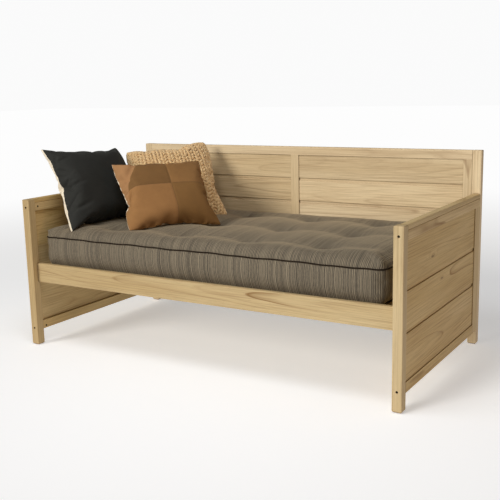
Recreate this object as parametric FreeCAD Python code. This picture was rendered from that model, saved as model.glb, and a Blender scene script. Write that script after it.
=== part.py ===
import FreeCAD, Part
import os
from FreeCAD import Vector

# A wooden daybed with boarded arms and back, a slatted base, a tufted mattress and three throw
# pillows. Millimetres. X runs along the length, the front faces -Y, +Z is up, and the origin is
# on the floor under the middle of the bed.

# ---- overall sizes
length = 2030.0
depth = 1058.0
arm_height = 760.0
back_height = 970.0

# ---- posts
front_post_width = 44.0          # along X
front_post_depth = 44.0          # along Y
back_post_width = 45.0
back_post_depth = 36.0
post_edge_radius = 3.0
foot_radius = 13.0               # the rounded bottom corners of every post
top_radius = 5.0                 # the softened top corners

# ---- arm panels
arm_frame_thickness = 38.0
arm_cap_height = 21.0
arm_top_rail_height = 40.0
arm_bottom_rail_height = 44.0
arm_bottom_edge = 77.0           # floor to the underside of the arm panel
rear_stile_width = 73.0
arm_upper_face = 192.0           # the part of the upper board that shows
arm_board_cover = 174.0          # what one middle board covers, its step included
shadow_chamfer = 2.0             # the V line between the cap and the rail

# ---- boards of the arm panels and of the back
arm_board_thickness = 22.0
back_board_thickness = 18.0
board_setback = 4.0              # how far a board's face lies behind its frame's face
step = 14.0                      # the sunk strip that shows between two boards
step_depth = 4.5                 # how far that strip lies behind the boards' faces
lap = 9.0                        # how far the strip goes on behind the upper board
board_edge_ease = 1.5
groove_depth = 8.0
groove_side_clearance = 0.25
groove_end_clearance = 0.5
lap_clearance = 0.3

# ---- back panel
back_frame_thickness = 30.0
back_top_rail_height = 45.0
back_side_stile_width = 42.0
back_centre_stile_width = 48.0
back_rows = 4                    # boards in each of the two bays

# ---- bed rails and slats
rail_top = 430.0
rail_height = 98.0
front_rail_thickness = 25.0
front_rail_setback = 29.5        # behind the front face of the front posts
rail_edge_radius = 4.0
slat_count = 12
slat_width = 70.0
slat_thickness = 20.0
slat_drop = 30.0                 # rail top down to the slats' top
slat_end_clearance = 1.5
slat_end_margin = 95.0           # arm panel to the middle of the first slat
ledger_width = 25.0
ledger_height = 30.0
ledger_end_gap = 10.0

# ---- fixings
bolt_radius = 3.0
bolt_head_radius = 5.0
bolt_head_height = 5.0
bolt_hole_radius = 3.5
counterbore_radius = 5.5
counterbore_depth = 12.0
low_bolt_rise = 13.0             # above the underside of the arm panel
barrel_radius = 5.0
barrel_length = 16.0
barrel_setback = 25.0            # from the post to the barrel nut
barrel_sink = 2.0
barrel_hole_clearance = 0.2
bolt_tip = 6.0                   # the bolt's end past the barrel nut
socket_radius = 2.5
socket_depth = 3.0
dowel_radius = 4.0
dowel_half_length = 16.0
dowel_end_clearance = 1.0
dowel_shares = (1 / 3, 2 / 3)    # where two dowels stand across the height of a rail's end
stile_dowel_inset = 14.0         # from the front edge of an arm's rear stile
stile_dowel_spacing = 18.0
hook_plate_thickness = 3.0
hook_plate_height = 70.0
hook_plate_width = 11.0
hook_lug_length = 9.0
hook_lug_height = 12.0
hook_lug_thickness = 4.0
hook_lug_rise = 20.0             # each lug above and below the middle of the plate
hook_clearance = 0.5
screw_radius = 2.0
screw_head_radius = 4.0
screw_head_height = 2.5
slat_screw_length = 38.0
ledger_screw_length = 40.0
ledger_screw_count = 6
ledger_screw_drop = 20.0         # below the ledger's top

# ---- mattress and pillows
mattress_thickness = 210.0
mattress_end_gap = 24.0          # to each arm panel
mattress_side_gap = 4.0          # to the front rail and to the back
mattress_corner_radius = 60.0
mattress_edge_radius = 28.0
rest_gap = 0.5                   # between soft pieces that lie on each other
pillow_edge = 18.0               # thickness at a pillow's seam
pillow_crown = 0.22              # share of the width from the seam in to the full thickness

# width, height and thickness of each pillow, the way it faces (degrees from -Y towards +X), how
# far it leans back, and where its foot stands, from the foot of the charcoal pillow
pillows = {
    "charcoal_pillow": dict(width=475.0, height=430.0, thickness=180.0, facing=80.0,
                            lean=30.0, foot=(0.0, 0.0)),
    "knit_pillow": dict(width=462.0, height=455.0, thickness=135.0, facing=47.0,
                        lean=36.0, foot=(268.0, 303.0)),
    "suede_pillow": dict(width=478.0, height=425.0, thickness=145.0, facing=54.0,
                         lean=44.0, foot=(402.0, 32.0)),
}
charcoal_foot_from_back = 703.0  # back panel to the charcoal pillow's foot
charcoal_arm_gap = 42.0          # charcoal pillow to the arm it leans over

# ---- places worked out from the sizes
half_length = length / 2
front = -depth / 2
back = depth / 2
arm_start = front + front_post_depth          # the arm panel runs between its two posts
arm_end = back - back_post_depth
arm_inner = half_length - arm_frame_thickness
cap_bottom = arm_height - arm_cap_height
arm_rail_bottom = cap_bottom - arm_top_rail_height
arm_sill_top = arm_bottom_edge + arm_bottom_rail_height
rear_stile_start = arm_end - rear_stile_width
front_post_inner = half_length - front_post_width
back_post_inner = half_length - back_post_width
back_rail_bottom = back_height - back_top_rail_height
back_stile_inner = back_post_inner - back_side_stile_width
rail_bottom = rail_top - rail_height
rail_front = front + front_rail_setback
rail_back = rail_front + front_rail_thickness
slat_top = rail_top - slat_drop
ledger_top = slat_top - slat_thickness
bolt_x = half_length - front_post_width / 2
high_bolt_z = (arm_rail_bottom + cap_bottom) / 2
low_bolt_z = arm_bottom_edge + low_bolt_rise
mattress_bottom = slat_top + rest_gap
mattress_top = mattress_bottom + mattress_thickness

same_height = 0.01               # edges this close to a height lie at it
same_length = 1e-6

nodes = {}


def box(x0, x1, y0, y1, z0, z1):
    return Part.makeBox(x1 - x0, y1 - y0, z1 - z0, Vector(x0, y0, z0))


def rod(radius, start, end):
    way = end - start
    return Part.makeCylinder(radius, way.Length, start, way)


def mirrored(shape):
    return shape.mirror(Vector(0, 0, 0), Vector(1, 0, 0))


def along(edge_axis, shape):
    """The edges of a shape that run along one axis, given as 0, 1 or 2."""
    picked = []
    for e in shape.Edges:
        if len(e.Vertexes) != 2:
            continue
        way = e.Vertexes[1].Point - e.Vertexes[0].Point
        if abs(abs(way[edge_axis]) - way.Length) < same_length:
            picked.append(e)
    return picked


def level_edges(shape, edge_axis, z):
    """The edges along one axis that lie at one height."""
    return [e for e in along(edge_axis, shape)
            if e.BoundBox.ZMin > z - same_height and e.BoundBox.ZMax < z + same_height]


def prism(points, way):
    """A closed outline pushed along a vector."""
    wire = Part.makePolygon(points + [points[0]])
    return Part.Face(wire).extrude(way)


def post(x0, x1, y0, y1, height):
    """A square post with eased edges: rounded feet, a softened top."""
    stick = box(x0, x1, y0, y1, 0, height)
    stick = stick.makeFillet(post_edge_radius, along(2, stick))
    for axis in (0, 1):
        profile = box(x0, x1, y0, y1, 0, height)
        profile = profile.makeFillet(foot_radius, level_edges(profile, axis, 0))
        profile = profile.makeFillet(top_radius, level_edges(profile, axis, height))
        stick = stick.common(profile)
    return stick


def board_outline(low, high, thickness, tongue, rabbet):
    """The end view of a shiplap board as (depth behind its face, height) pairs.

    low and high bound the face that shows. A tongue goes on above it, its face step_depth back,
    and a rabbet takes the tongue of the board below.
    """
    ease = board_edge_ease
    lip = step_depth - lap_clearance
    outline = [(ease, low), (0, low + ease), (0, high - ease), (ease, high)]
    if tongue:
        tongue_top = high + step + lap
        outline += [(step_depth, high), (step_depth, tongue_top), (thickness, tongue_top)]
    else:
        outline += [(thickness, high)]
    if rabbet:
        shoulder = low + lap + lap_clearance
        outline += [(thickness, shoulder), (lip, shoulder), (lip, low)]
    else:
        outline += [(thickness, low)]
    return outline


def board_heights(low, high, lower_edges):
    """Face limits of the boards from the top down, given the lower edge of all but the last."""
    tops = [high] + [edge - step for edge in lower_edges]
    bottoms = list(lower_edges) + [low]
    return list(zip(bottoms, tops))


def boards(low, high, lower_edges, thickness, place, way):
    """All boards of one panel. low and high are the rails' edges that the boards enter."""
    stack = []
    faces = board_heights(low - groove_depth + groove_end_clearance,
                          high + groove_depth - groove_end_clearance, lower_edges)
    for row, (bottom, top) in enumerate(faces):
        outline = board_outline(bottom, top, thickness, row > 0, row < len(faces) - 1)
        stack.append(prism([place(d, z) for d, z in outline], way))
    return stack


# ---- right arm panel, then its mirror image on the left
board_face_x = half_length - board_setback
groove_outer = board_face_x + groove_side_clearance
groove_inner = board_face_x - arm_board_thickness - groove_side_clearance

right = {}
right["front_post"] = post(front_post_inner, half_length, front, arm_start, arm_height)
right["back_post"] = post(back_post_inner, half_length, arm_end, back, back_height)

arm_cap = box(arm_inner, half_length, arm_start, arm_end, cap_bottom, arm_height)
arm_cap = arm_cap.makeFillet(top_radius, level_edges(arm_cap, 1, arm_height))
right["arm_cap"] = arm_cap.makeChamfer(shadow_chamfer, level_edges(arm_cap, 1, cap_bottom))

arm_rail = box(arm_inner, half_length, arm_start, arm_end, arm_rail_bottom, cap_bottom)
arm_rail = arm_rail.makeChamfer(shadow_chamfer, level_edges(arm_rail, 1, cap_bottom))
right["arm_top_rail"] = arm_rail.cut(
    box(groove_inner, groove_outer, arm_start, rear_stile_start + groove_depth,
        arm_rail_bottom, arm_rail_bottom + groove_depth))

right["arm_bottom_rail"] = box(
    arm_inner, half_length, arm_start, rear_stile_start, arm_bottom_edge, arm_sill_top).cut(
    box(groove_inner, groove_outer, arm_start, rear_stile_start,
        arm_sill_top - groove_depth, arm_sill_top))

right["arm_rear_stile"] = box(
    arm_inner, half_length, rear_stile_start, arm_end, arm_bottom_edge, arm_rail_bottom).cut(
    box(groove_inner, groove_outer, rear_stile_start, rear_stile_start + groove_depth,
        arm_sill_top - groove_depth, arm_rail_bottom))

right["front_post"] = right["front_post"].cut(
    box(groove_inner, groove_outer, arm_start - groove_depth, arm_start,
        arm_sill_top - groove_depth, arm_rail_bottom + groove_depth))

board_start = arm_start - groove_depth + groove_end_clearance
board_end = rear_stile_start + groove_depth - groove_end_clearance
arm_lower_edges = [arm_rail_bottom - arm_upper_face,
                   arm_rail_bottom - arm_upper_face - arm_board_cover]
arm_boards = boards(arm_sill_top, arm_rail_bottom, arm_lower_edges, arm_board_thickness,
                    lambda d, z: Vector(board_face_x - d, board_start, z),
                    Vector(0, board_end - board_start, 0))
for row, board in zip(("upper", "middle", "lower"), arm_boards):
    right["arm_board_" + row] = board

for name, shape in right.items():
    nodes[name + "_right"] = shape
    nodes[name + "_left"] = mirrored(shape)

# ---- back panel
panel_back = arm_end + back_frame_thickness
back_face = arm_end + board_setback
slot_front = back_face - groove_side_clearance
slot_back = back_face + back_board_thickness + groove_side_clearance
half_centre = back_centre_stile_width / 2

back_rail = box(-back_post_inner, back_post_inner, arm_end, panel_back, back_rail_bottom, back_height)
nodes["back_top_rail"] = back_rail.makeFillet(top_radius, level_edges(back_rail, 0, back_height))
nodes["back_bottom_rail"] = box(-back_post_inner, back_post_inner, arm_end, panel_back,
                                rail_bottom, rail_top)
nodes["back_stile_right"] = box(back_stile_inner, back_post_inner, arm_end, panel_back,
                                rail_top, back_rail_bottom)
nodes["back_stile_left"] = mirrored(nodes["back_stile_right"])
nodes["back_stile_centre"] = box(-half_centre, half_centre, arm_end, panel_back,
                                 rail_top, back_rail_bottom)
back_frame = ("back_top_rail", "back_bottom_rail", "back_stile_right", "back_stile_left",
              "back_stile_centre")

bay_slot = box(half_centre - groove_depth, back_stile_inner + groove_depth, slot_front, slot_back,
               rail_top - groove_depth, back_rail_bottom + groove_depth)
for slot in (bay_slot, mirrored(bay_slot)):
    for name in back_frame:
        nodes[name] = nodes[name].cut(slot)

back_pitch = (back_rail_bottom - rail_top) / back_rows
back_lower_edges = [back_rail_bottom - back_pitch * row for row in range(1, back_rows)]
bay_start = half_centre - groove_depth + groove_end_clearance
bay_end = back_stile_inner + groove_depth - groove_end_clearance
bay_boards = boards(rail_top, back_rail_bottom, back_lower_edges, back_board_thickness,
                    lambda d, z: Vector(bay_start, back_face + d, z),
                    Vector(bay_end - bay_start, 0, 0))
for row, board in enumerate(bay_boards, start=1):
    nodes["back_board_right_%d" % row] = board
    nodes["back_board_left_%d" % row] = mirrored(board)

# ---- front rail, ledgers and slats
front_rail = box(-front_post_inner, front_post_inner, rail_front, rail_back, rail_bottom, rail_top)
nodes["front_rail"] = front_rail.makeFillet(rail_edge_radius, along(0, front_rail))

ledger_end = arm_inner - ledger_end_gap
nodes["slat_ledger_front"] = box(-ledger_end, ledger_end, rail_back, rail_back + ledger_width,
                                 ledger_top - ledger_height, ledger_top)
nodes["slat_ledger_back"] = box(-ledger_end, ledger_end, arm_end - ledger_width, arm_end,
                                ledger_top - ledger_height, ledger_top)

first_slat = -(arm_inner - slat_end_margin)
slat_pitch = -2 * first_slat / (slat_count - 1)
slat_middles = [first_slat + slat_pitch * n for n in range(slat_count)]
for number, x in enumerate(slat_middles, start=1):
    slat = box(x - slat_width / 2, x + slat_width / 2, rail_back + slat_end_clearance,
               arm_end - slat_end_clearance, ledger_top, slat_top)
    nodes["slat_%02d" % number] = slat.makeFillet(rail_edge_radius, along(1, slat))

# ---- fixings


def drill(names, tool):
    for name in names:
        nodes[name] = nodes[name].cut(tool)


def sides():
    return (("right", 1), ("left", -1))


def post_bolt(x, z, face, joint, inward, post_name, rail_name, side):
    """A sunk bolt through a post into a barrel nut in the arm panel. face is the post's outer
    face, joint is where post and panel meet, and inward is the bolt's way along Y."""
    seat = face + inward * counterbore_depth
    nut_y = joint + inward * barrel_setback
    tip = nut_y + inward * (barrel_radius + bolt_tip)
    drill([post_name], rod(counterbore_radius, Vector(x, face, z), Vector(x, seat, z)))
    drill([post_name, rail_name], rod(bolt_hole_radius, Vector(x, seat, z), Vector(x, tip + inward, z)))
    nut_start = side * (arm_inner + barrel_sink)
    nut_end = nut_start + side * barrel_length
    nut = rod(barrel_radius, Vector(nut_start, nut_y, z), Vector(nut_end, nut_y, z))
    drill([rail_name], rod(barrel_radius + barrel_hole_clearance,
                           Vector(side * arm_inner, nut_y, z), Vector(nut_end, nut_y, z)))
    head = rod(bolt_head_radius, Vector(x, seat - inward * bolt_head_height, z), Vector(x, seat, z))
    socket = rod(socket_radius, Vector(x, seat - inward * bolt_head_height, z),
                 Vector(x, seat - inward * (bolt_head_height - socket_depth), z))
    shank = rod(bolt_radius, Vector(x, seat, z), Vector(x, tip, z))
    return head.cut(socket).fuse(shank), nut.cut(shank)


bolts, nuts = [], []
for side_name, side in sides():
    for z, front_part, back_part in ((high_bolt_z, "arm_top_rail", "arm_top_rail"),
                                     (low_bolt_z, "arm_bottom_rail", "arm_rear_stile")):
        for face, joint, inward, post_kind, part in (
                (front, arm_start, 1, "front_post", front_part),
                (back, arm_end, -1, "back_post", back_part)):
            bolt, nut = post_bolt(side * bolt_x, z, face, joint, inward, post_kind + "_" + side_name,
                                  part + "_" + side_name, side)
            bolts.append(bolt)
            nuts.append(nut)
nodes["post_bolts"] = Part.makeCompound(bolts)
nodes["barrel_nuts"] = Part.makeCompound(nuts)

dowels = []


def dowel(centre, way, names):
    """A glued dowel across the joint of two pieces, in holes a little longer than it."""
    reach = Vector(*way) * dowel_half_length
    slack = Vector(*way) * dowel_end_clearance
    drill(names, rod(dowel_radius, centre - reach - slack, centre + reach + slack))
    dowels.append(rod(dowel_radius, centre - reach, centre + reach))


back_middle_y = arm_end + back_frame_thickness / 2
arm_middle_x = half_length - arm_frame_thickness / 2
for side_name, side in sides():
    x = side * arm_middle_x
    for inset in (stile_dowel_inset, stile_dowel_inset + stile_dowel_spacing):
        dowel(Vector(x, rear_stile_start + inset, arm_rail_bottom), (0, 0, 1),
              ["arm_top_rail_" + side_name, "arm_rear_stile_" + side_name])
    z = arm_bottom_edge + arm_bottom_rail_height * dowel_shares[0]
    dowel(Vector(x, rear_stile_start, z), (0, 1, 0),
          ["arm_bottom_rail_" + side_name, "arm_rear_stile_" + side_name])
    for low, high, name in ((rail_bottom, rail_top, "back_bottom_rail"),
                            (back_rail_bottom, back_height, "back_top_rail")):
        for share in dowel_shares:
            z = low + (high - low) * share
            dowel(Vector(side * back_post_inner, back_middle_y, z), (1, 0, 0),
                  [name, "back_post_" + side_name])
for middle, name in ((0.0, "back_stile_centre"),
                     (back_post_inner - back_side_stile_width / 2, "back_stile_right"),
                     (back_side_stile_width / 2 - back_post_inner, "back_stile_left")):
    for z, rail in ((rail_top, "back_bottom_rail"), (back_rail_bottom, "back_top_rail")):
        dowel(Vector(middle, slot_back + (panel_back - slot_back) / 2, z), (0, 0, 1), [name, rail])
nodes["dowels"] = Part.makeCompound(dowels)

# hook plates let into the ends of the front rail, their lugs in slots of the front posts
hooks = []
plate_y0 = rail_front + (arm_start - rail_front - hook_plate_width) / 2
plate_y1 = plate_y0 + hook_plate_width
plate_middle = rail_bottom + rail_height / 2
lug_y0 = (plate_y0 + plate_y1 - hook_lug_thickness) / 2
lug_y1 = lug_y0 + hook_lug_thickness
plate = box(front_post_inner - hook_plate_thickness, front_post_inner, plate_y0, plate_y1,
            plate_middle - hook_plate_height / 2, plate_middle + hook_plate_height / 2)
hook = plate
lug_slots = []
for rise in (-hook_lug_rise, hook_lug_rise):
    low = plate_middle + rise - hook_lug_height / 2
    high = low + hook_lug_height
    lug_end = front_post_inner + hook_lug_length
    hook = hook.fuse(box(front_post_inner, lug_end, lug_y0, lug_y1, low, high))
    lug_slots.append(box(front_post_inner, lug_end + hook_clearance,
                         lug_y0 - hook_clearance, lug_y1 + hook_clearance,
                         low - hook_clearance, high + hook_clearance))
nodes["rail_hook_plates"] = Part.makeCompound([hook, mirrored(hook)])
drill(["front_rail"], plate)
drill(["front_rail"], mirrored(plate))
for slot in lug_slots:
    drill(["front_post_right"], slot)
    drill(["front_post_left"], mirrored(slot))


def screw(seat, way, length_mm, names):
    """A countersunk-head wood screw, its head flush at seat, and its hole in each piece."""
    way = Vector(*way)
    head = Part.makeCone(screw_head_radius, screw_radius, screw_head_height, seat, way)
    shank = rod(screw_radius, seat + way * screw_head_height, seat + way * length_mm)
    whole = head.fuse(shank)
    drill(names, whole)
    return whole


slat_screws = []
for number, x in enumerate(slat_middles, start=1):
    for y, ledger in ((rail_back + ledger_width / 2, "slat_ledger_front"),
                      (arm_end - ledger_width / 2, "slat_ledger_back")):
        slat_screws.append(screw(Vector(x, y, slat_top), (0, 0, -1), slat_screw_length,
                                 ["slat_%02d" % number, ledger]))
nodes["slat_screws"] = Part.makeCompound(slat_screws)

ledger_screws = []
ledger_screw_z = ledger_top - ledger_screw_drop
screw_start = slat_middles[0] + slat_pitch / 2
screw_pitch = slat_pitch * (slat_count - 2) / (ledger_screw_count - 1)
screw_row = [screw_start + screw_pitch * n for n in range(ledger_screw_count)]
for x in screw_row:
    ledger_screws.append(screw(Vector(x, rail_back + ledger_width, ledger_screw_z), (0, -1, 0),
                               ledger_screw_length, ["slat_ledger_front", "front_rail"]))
    ledger_screws.append(screw(Vector(x, arm_end - ledger_width, ledger_screw_z), (0, 1, 0),
                               ledger_screw_length, ["slat_ledger_back", "back_bottom_rail"]))
nodes["ledger_screws"] = Part.makeCompound(ledger_screws)

# ---- mattress
mattress_end = arm_inner - mattress_end_gap
mattress = box(-mattress_end, mattress_end, rail_back + mattress_side_gap, arm_end - mattress_side_gap,
               mattress_bottom, mattress_top)
mattress = mattress.makeFillet(mattress_corner_radius, along(2, mattress))
rim = [e for e in mattress.Edges if e.BoundBox.ZLength < same_length]
nodes["mattress"] = mattress.makeFillet(mattress_edge_radius, rim)


# ---- throw pillows: a crowned slab, thin at its seam, stood on its foot and leant back
def ring(half_width, low, high, y):
    return [Vector(-half_width, y, low), Vector(half_width, y, low),
            Vector(half_width, y, high), Vector(-half_width, y, high)]


def face_of(points):
    return Part.Face(Part.makePolygon(points + [points[0]]))


def pillow(width, height, thickness, facing, lean, foot):
    inset = width * pillow_crown
    face = (width / 2 - inset, inset, height - inset)
    seam = (width / 2, 0, height)
    rings = [ring(*face, -thickness / 2), ring(*seam, -pillow_edge / 2),
             ring(*seam, pillow_edge / 2), ring(*face, thickness / 2)]
    faces = [face_of(rings[0]), face_of(rings[-1])]
    for near, far in zip(rings, rings[1:]):
        for n in range(4):
            m = (n + 1) % 4
            faces.append(face_of([near[n], near[m], far[m], far[n]]))
    shape = Part.makeSolid(Part.makeShell(faces))
    shape.rotate(Vector(0, 0, 0), Vector(1, 0, 0), -lean)
    shape.rotate(Vector(0, 0, 0), Vector(0, 0, 1), facing)
    shape.translate(Vector(foot[0], foot[1], 0))
    shape.translate(Vector(0, 0, mattress_top + rest_gap - shape.BoundBox.ZMin))
    return shape


# the charcoal pillow leans over the left arm, and the other two stand in front of it
charcoal = pillow(**pillows["charcoal_pillow"])
beside_arm = charcoal.common(box(-length, length, -length, length, mattress_top, arm_height))
shift = Vector(-arm_inner + charcoal_arm_gap - beside_arm.BoundBox.XMin,
               arm_end - charcoal_foot_from_back, 0)
for name, sizes in pillows.items():
    shape = pillow(**sizes)
    shape.translate(shift)
    nodes[name] = shape
print("charcoal foot x %.1f, y %.1f" % (shift.x, shift.y))

os.makedirs("parts", exist_ok=True)
for name, shape in nodes.items():
    shape.exportStep("parts/%s.step" % name)
print("%d nodes" % len(nodes))
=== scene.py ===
import bpy
import math
import random
import numpy as np
from mathutils import Matrix, Vector, kdtree
from mathutils.bvhtree import BVHTree


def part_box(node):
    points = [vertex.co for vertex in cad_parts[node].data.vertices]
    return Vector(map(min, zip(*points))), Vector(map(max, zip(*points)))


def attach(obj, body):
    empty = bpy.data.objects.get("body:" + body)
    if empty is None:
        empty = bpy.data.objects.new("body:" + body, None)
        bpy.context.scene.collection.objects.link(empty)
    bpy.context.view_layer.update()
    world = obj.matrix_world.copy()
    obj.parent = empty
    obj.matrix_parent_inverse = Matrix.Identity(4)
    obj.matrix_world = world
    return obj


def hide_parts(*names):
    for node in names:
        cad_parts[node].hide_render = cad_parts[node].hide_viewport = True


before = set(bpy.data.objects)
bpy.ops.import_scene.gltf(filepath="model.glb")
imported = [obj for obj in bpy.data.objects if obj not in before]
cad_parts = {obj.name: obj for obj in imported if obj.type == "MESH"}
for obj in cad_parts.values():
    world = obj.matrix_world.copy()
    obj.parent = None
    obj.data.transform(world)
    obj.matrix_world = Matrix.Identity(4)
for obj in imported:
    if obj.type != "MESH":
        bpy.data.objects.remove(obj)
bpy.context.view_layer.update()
print("frame loaded,", len(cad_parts), "nodes")

mm = 0.001
scene = bpy.context.scene
scene.view_settings.view_transform = "Standard"


# colours are written as sRGB hex and turned to linear here
def colour(hexText):
    parts = [int(hexText[n:n + 2], 16) / 255 for n in (0, 2, 4)]
    linear = [c / 12.92 if c <= 0.04045 else ((c + 0.055) / 1.055) ** 2.4 for c in parts]
    return (*linear, 1.0)


# adds one node: settings are attributes or unlinked sockets, links are sockets fed by other nodes
def addNode(tree, kind, settings=None, links=None):
    node = tree.nodes.new(kind)
    for key, value in (settings or {}).items():
        if isinstance(key, str) and hasattr(node, key):
            setattr(node, key, value)
        else:
            node.inputs[key].default_value = value
    for key, source in (links or {}).items():
        tree.links.new(source, node.inputs[key])
    return node


def newMaterial(name):
    material = bpy.data.materials.new(name)
    material.use_nodes = True
    material.node_tree.nodes.clear()
    return material, material.node_tree


def finishMaterial(tree, settings, links, bumpHeight=None, bumpDistance=1 * mm, bumpStrength=0.5):
    if bumpHeight is not None:
        bump = addNode(tree, "ShaderNodeBump", {"Strength": bumpStrength, "Distance": bumpDistance},
                       {"Height": bumpHeight})
        links = {**links, "Normal": bump.outputs[0]}
    shader = addNode(tree, "ShaderNodeBsdfPrincipled", settings, links)
    addNode(tree, "ShaderNodeOutputMaterial", None, {"Surface": shader.outputs[0]})


def math2(tree, operation, first, second=0.0, third=0.0, clamp=False):
    settings, links = {"operation": operation, "use_clamp": clamp}, {}
    for slotNumber, value in enumerate((first, second, third)):
        if isinstance(value, (int, float)):
            settings[slotNumber] = value
        else:
            links[slotNumber] = value
    return addNode(tree, "ShaderNodeMath", settings, links).outputs[0]


def blendColours(tree, factor, first, second, mode="MIX"):
    settings, links = {"data_type": "RGBA", "blend_type": mode}, {}
    for slotNumber, value in ((0, factor), (6, first), (7, second)):
        if isinstance(value, (float, tuple)):
            settings[slotNumber] = value
        else:
            links[slotNumber] = value
    return addNode(tree, "ShaderNodeMix", settings, links).outputs[2]


def ramp(tree, source, stops, interpolation="LINEAR"):
    node = addNode(tree, "ShaderNodeValToRGB", None, {"Fac": source})
    node.color_ramp.interpolation = interpolation
    elements = node.color_ramp.elements
    while len(elements) < len(stops):
        elements.new(0.5)
    for element, (position, value) in zip(elements, stops):
        element.position = position
        element.color = value if isinstance(value, tuple) else (value, value, value, 1.0)
    return node.outputs[0]


# Wood

wood = {
    "light": "D2BC92",
    "middle": "BFA578",
    "streak": "86633A",
    "pore": "7E5C35",
    "knot": "4F3319",
    "ringSpacing": 6.5 * mm,
    "waver": 13 * mm,               # how far the rings wander from true circles
    "pithBehind": (70 * mm, 180 * mm),
    "narrow": 90 * mm,              # narrower pieces are sawn from straight stock, far from the pith
    "tilt": 1.6,                    # degrees between the log's axis and the piece, at most
    "paintedLightByGroup": {"back": (0.89, 0.10), "arm": (1.11, -0.03), "front": (1.02, -0.14)},   # painted light and shade per group: back paler and lighter, arms deeper and darker, front darker; share of the colour's strength, lighter by
    "joint": "6A4826",              # stain gathered in the joints, with painted shade: darkened where ambient occlusion finds joints and grooves closed in
    "jointReach": 10 * mm,
    "toneRange": 0.055,
    "knotCore": 4.5 * mm,
    "knotSwell": 17 * mm,
    "knotty": ("arm_board_upper_right", "arm_board_middle_right", "back_board_left_2", "back_board_right_4"),
}


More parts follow.
